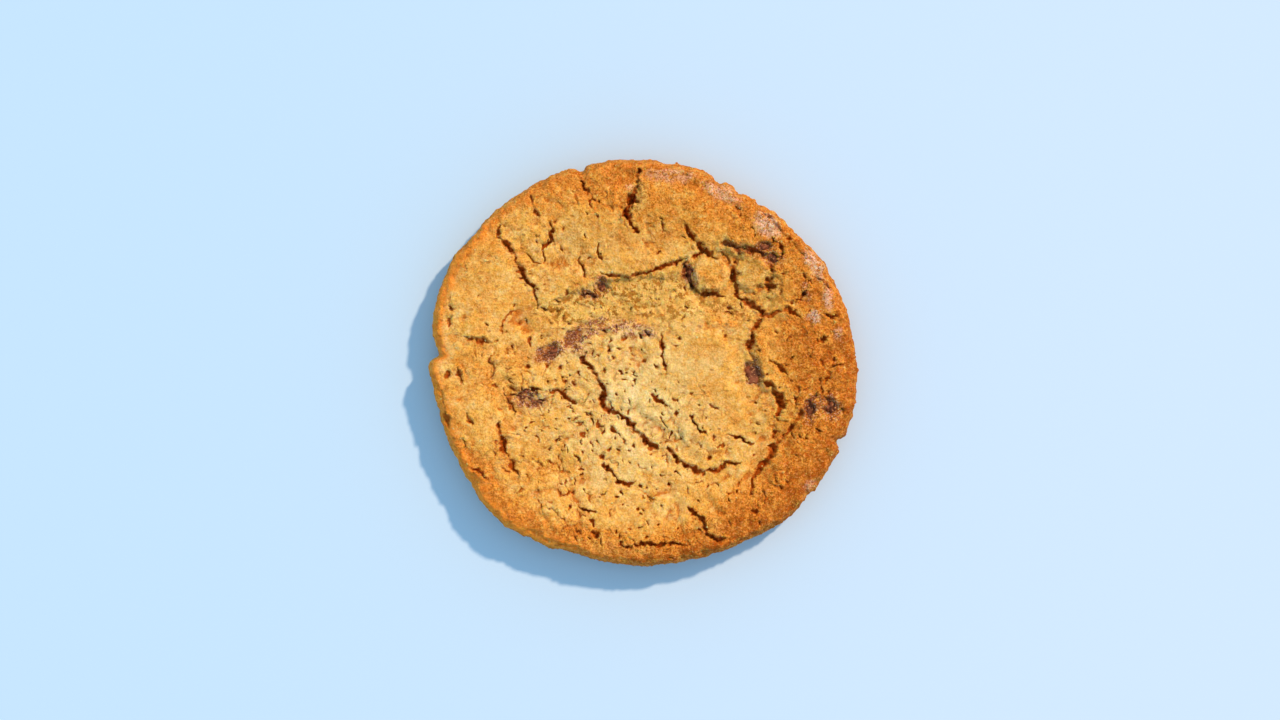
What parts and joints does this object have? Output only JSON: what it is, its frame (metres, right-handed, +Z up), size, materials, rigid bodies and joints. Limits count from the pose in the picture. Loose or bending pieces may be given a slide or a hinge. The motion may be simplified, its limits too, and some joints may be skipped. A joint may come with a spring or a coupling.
{
  "type": "chocolate chip cookie",
  "caption": "Round baked chocolate chip cookie with a raised browned rim, a sunken cracked middle and melted chips that show through the crust.",
  "frame": {"origin": "under the middle of the cookie, on the surface that it rests on", "axes": "+Z up through the cookie's thickness, out of its top; +X to the right and +Y to the top of the picture, which looks straight down on it"},
  "size_m": [0.085, 0.0806, 0.0103],
  "materials": {
    "crust": "matte golden-brown baked crust with a fine crumb, paler in the middle and more toasted at the rim",
    "chocolate": "satin milk chocolate, melted and set, dusted with crumb"
  },
  "bodies": {
    "root": {"cookie": "crust"}
  },
  "joints": []
}
